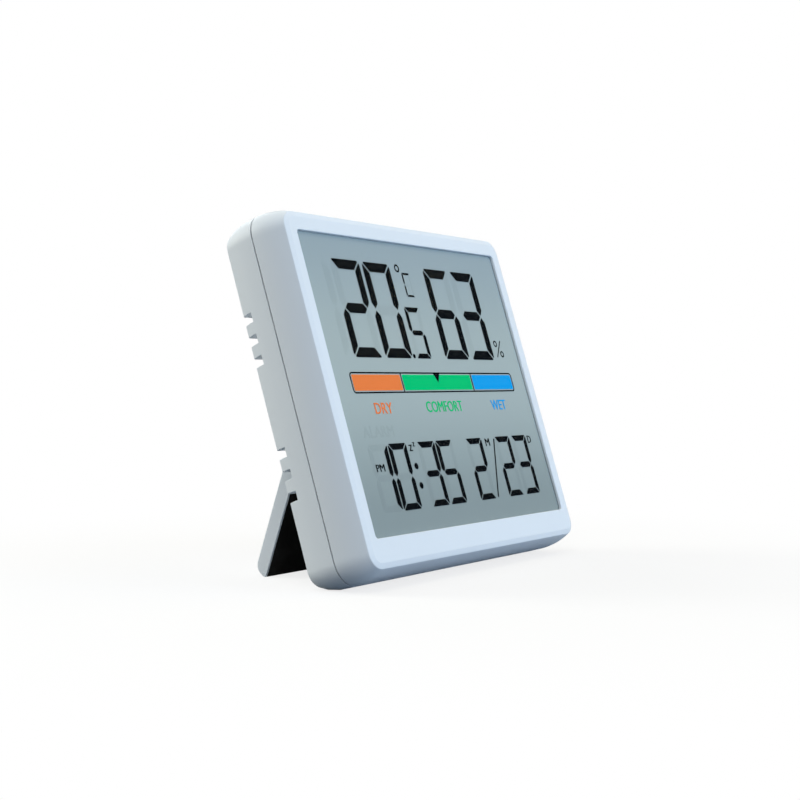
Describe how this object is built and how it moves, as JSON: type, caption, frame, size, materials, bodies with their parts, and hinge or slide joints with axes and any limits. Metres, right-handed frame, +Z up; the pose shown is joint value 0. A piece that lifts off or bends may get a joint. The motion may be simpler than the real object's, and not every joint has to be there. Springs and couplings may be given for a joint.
{
  "type": "thermometer hygrometer clock",
  "caption": "Slim white desk clock with a large grey display for temperature, humidity, time and date, side vents, setting keys, a battery bay and a fold-out stand.",
  "frame": {"origin": "On the table under the middle of the clock, as it stands on its open stand", "axes": "+X to the viewer's right along the display, +Y to the back, +Z up; the display faces -Y and leans back 17.5 degrees"},
  "size_m": [0.0878, 0.0364, 0.0741],
  "materials": {
    "case_white": "fine satin white moulding",
    "lens_clear": "clear polished plastic",
    "polariser_film": "satin film",
    "display_glass": "polished",
    "reflector_film": "grey-green satin film",
    "holder_white": "moulded",
    "zebra_rubber": "soft striped",
    "board_green": "satin solder mask",
    "steel_screw": "zinc plated",
    "black_resin": "matt",
    "steel_can": "drawn can",
    "chip_body": "ceramic",
    "plunger_white": "moulded",
    "key_grey": "satin",
    "cell_jacket": "printed sleeve over the metal can",
    "contact_steel": "nickel plated",
    "liner_rubber": "matt black"
  },
  "bodies": {
    "case": {"front_frame": "case_white", "window_lens": "lens_clear", "lcd_front_polariser": "polariser_film", "lcd_front_glass": "display_glass", "lcd_rear_glass": "display_glass", "lcd_reflector": "reflector_film", "lcd_holder": "holder_white", "zebra_strip": "zebra_rubber", "circuit_board": "board_green", "board_screws": "steel_screw", "controller_blob": "black_resin", "quartz_crystal": "steel_can", "humidity_sensor": "black_resin", "buzzer": "black_resin", "chip_components": "chip_body", "switch_bodies": "black_resin", "rear_shell": "case_white", "battery_upper": "cell_jacket", "battery_lower": "cell_jacket", "positive_contact": "contact_steel", "negative_contact": "contact_steel", "bridge_contact": "contact_steel"},
    "stand": {"stand": "case_white", "stand_liner": "liner_rubber"},
    "battery_door": {"battery_door": "case_white"},
    "key_left": {"key_left": "key_grey", "switch_plunger_left": "plunger_white"},
    "key_middle": {"key_middle": "key_grey", "switch_plunger_middle": "plunger_white"},
    "key_right": {"key_right": "key_grey", "switch_plunger_right": "plunger_white"}
  },
  "joints": [
    {"name": "stand_hinge", "type": "hinge", "parent": "case", "child": "stand", "pos_m": [0, 0.00567, 0.03487], "axis": [-1, 0, 0], "range_deg": [0, 36.3]},
    {"name": "battery_door_tilt", "type": "hinge", "parent": "case", "child": "battery_door", "pos_m": [0, 0.008, 0.03728], "axis": [-1, 0, 0], "range_deg": [0, 60]},
    {"name": "key_left_press", "type": "slide", "parent": "case", "child": "key_left", "axis": [0, -0.9537, 0.3007], "range_m": [0, 0.0005], "stiffness_N_per_m": 1500},
    {"name": "key_middle_press", "type": "slide", "parent": "case", "child": "key_middle", "axis": [0, -0.9537, 0.3007], "range_m": [0, 0.0005], "stiffness_N_per_m": 1500},
    {"name": "key_right_press", "type": "slide", "parent": "case", "child": "key_right", "axis": [0, -0.9537, 0.3007], "range_m": [0, 0.0005], "stiffness_N_per_m": 1500}
  ]
}
